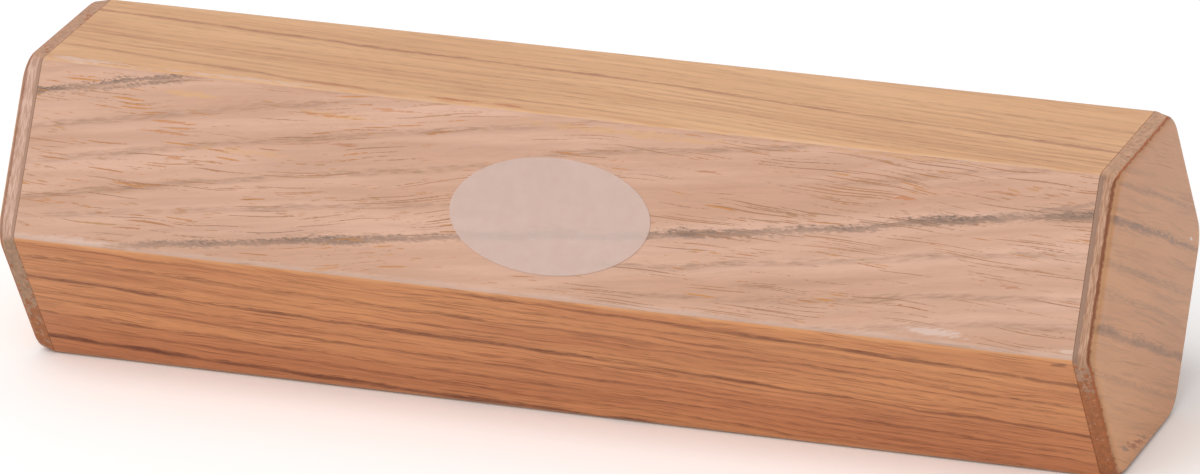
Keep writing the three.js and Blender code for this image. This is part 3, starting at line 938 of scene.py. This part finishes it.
def ball_tree():
    """One slightly dented ball, moved to its place on the chamber's floor."""
    tree, add, size = shape_tree("steel_ball", {
        "Radius": "Float", "Dent": "Float", "Place": "Vector", "Steel": "Material"})
    ball = add("GeometryNodeMeshIcoSphere", {"Radius": size["Radius"], "Subdivisions": BALL_DETAIL})
    here = add("GeometryNodeInputPosition")
    looked_up = add("VectorMath", [here, size["Place"]], "ADD")
    dents = add("TexNoise", {"Vector": looked_up, "Scale": 1 / DENT_WIDTH})
    depth = add("Math", [dents, size["Dent"]], "MULTIPLY")
    inward = add("VectorMath", [here], "NORMALIZE")
    inward = add("VectorMath", [inward, -1.0], "SCALE")
    offset = add("VectorMath", [inward, depth], "SCALE")
    dented = add("GeometryNodeSetPosition", {"Geometry": ball, "Offset": offset})
    smooth = add("GeometryNodeSetShadeSmooth", {"Geometry": dented})
    placed = add("GeometryNodeTransform", {"Geometry": smooth, "Translation": size["Place"]})
    end_shape_tree(add, placed, size["Steel"])
    return tree


def tumbled_steel():
    """Tumbled carbon steel: a grey mirror clouded by fine scuffs."""
    material = bpy.data.materials.new("tumbled_carbon_steel")
    add = fresh_nodes(material)
    point = add("TexCoord").outputs["Object"]
    scuff = add("TexNoise", {"Vector": point, "Scale": 1 / SCUFF_WIDTH, "Detail": 4.0})
    colour = add("Mix", [scuff, linear("#a9abae"), linear("#c2c3c5")], data_type="RGBA")
    roughness = add("MapRange", [scuff, 0.0, 1.0, 0.18, 0.4])
    shader = add("BsdfPrincipled", {"Base Color": colour, "Roughness": roughness, "Metallic": 1.0})
    add("OutputMaterial", {"Surface": shader})
    return material


ball_shape = ball_tree()
steel = tumbled_steel()
for node in sorted(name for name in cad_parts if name.startswith("shot_")):
    ball_low, ball_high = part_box(node)
    ball = grow(ball_shape, node.replace("shot", "ball"), {
        "Radius": (ball_high.z - ball_low.z) / 2,
        "Dent": BALL_DENT,
        "Place": (ball_low + ball_high) / 2,
        "Steel": steel,
    })
    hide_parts(node)
    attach(ball, node)


# Studio
# A wide pale floor under an even white sky, with one large soft light from the front and above.
# The floor is brighter to the camera than to the object, so that the picture's ground is white.
FLOOR_HALF = 40.0
FLOOR_BELOW = 0.05 * MM  # so that it shares no plane with the shaker
FLOOR_SEEN_BRIGHTER = 1.32
SKY_STRENGTH = 0.53
KEY_STRENGTH = 1.68
KEY_SOFTNESS = math.radians(70)
KEY_FROM = Vector((-0.25, -0.75, 0.9))


def seen_directly(add):
    """1 for the camera, mirrors and glass, and 0 for light on its way to the object."""
    path = add("LightPath").outputs
    seen = add("Math", [path["Is Camera Ray"], path["Is Glossy Ray"]], "MAXIMUM")
    return add("Math", [seen, path["Is Transmission Ray"]], "MAXIMUM")


floor_mesh = bpy.data.meshes.new("floor")
corners = [(-1, -1), (1, -1), (1, 1), (-1, 1)]
corners = [(x * FLOOR_HALF, y * FLOOR_HALF, -FLOOR_BELOW) for x, y in corners]
floor_mesh.from_pydata(corners, [], [(0, 1, 2, 3)])
# Matt white paper: even and without shine
paper = bpy.data.materials.new("matt_white_paper")
add = fresh_nodes(paper)
paper_light = add("MapRange", [seen_directly(add), 0.0, 1.0, 1.0, FLOOR_SEEN_BRIGHTER])
paper_colour = add("VectorMath", [linear("#eeeeee")[:3], paper_light], "SCALE")
paper_shader = add("BsdfDiffuse", {"Color": paper_colour})
add("OutputMaterial", {"Surface": paper_shader})
floor_mesh.materials.append(paper)
floor = put_in_scene("floor", floor_mesh)

sky = bpy.data.worlds.new("white_sky")
add = fresh_nodes(sky)
sky_strength = add("MapRange", [seen_directly(add), 0.0, 1.0, SKY_STRENGTH, 1.0])
sky_light = add("Background", {"Color": linear("#ffffff"), "Strength": sky_strength})
add("OutputWorld", {"Surface": sky_light})
bpy.context.scene.world = sky

key = put_in_scene("key", bpy.data.lights.new("key", "SUN"))
key.data.energy = KEY_STRENGTH
key.data.angle = KEY_SOFTNESS
key.rotation_mode = "QUATERNION"
key.rotation_quaternion = KEY_FROM.to_track_quat("Z", "Y")


# Camera
# A long lens from the right of the front and above, a little tilted, as the shaker was photographed.
# Pixels are those of the picture's full width.
PICTURE_WIDTH = 1200
AZIMUTH = math.radians(20.54)
ELEVATION = math.radians(21.43)
TILT = math.radians(-1.33)
DISTANCE = 1.744  # from the middle of the tube
FOCAL_PIXELS = 10051
AIM_PIXEL_LEFT = 2.9  # of the middle of the picture, where the middle of the tube shows
AIM_PIXEL_UP = 3.8
SENSOR_WIDTH = 36.0
SIGHT = 100.0  # past the floor's far corners

camera = put_in_scene("camera", bpy.data.cameras.new("camera"))
camera.data.sensor_width = SENSOR_WIDTH
camera.data.lens = FOCAL_PIXELS / PICTURE_WIDTH * SENSOR_WIDTH
camera.data.shift_x = AIM_PIXEL_LEFT / PICTURE_WIDTH
camera.data.shift_y = -AIM_PIXEL_UP / PICTURE_WIDTH
camera.data.clip_end = SIGHT
level_back = Vector((math.sin(AZIMUTH), -math.cos(AZIMUTH), 0.0)) * math.cos(ELEVATION)
back = level_back + Vector((0.0, 0.0, math.sin(ELEVATION)))
camera.location = Vector((0.0, 0.0, apothem)) + back * DISTANCE
camera.rotation_mode = "QUATERNION"
camera.rotation_quaternion = (-back).to_track_quat("-Z", "Y") @ Quaternion((0.0, 0.0, 1.0), TILT)
bpy.context.scene.camera = camera
bpy.context.scene.view_settings.view_transform = "Standard"
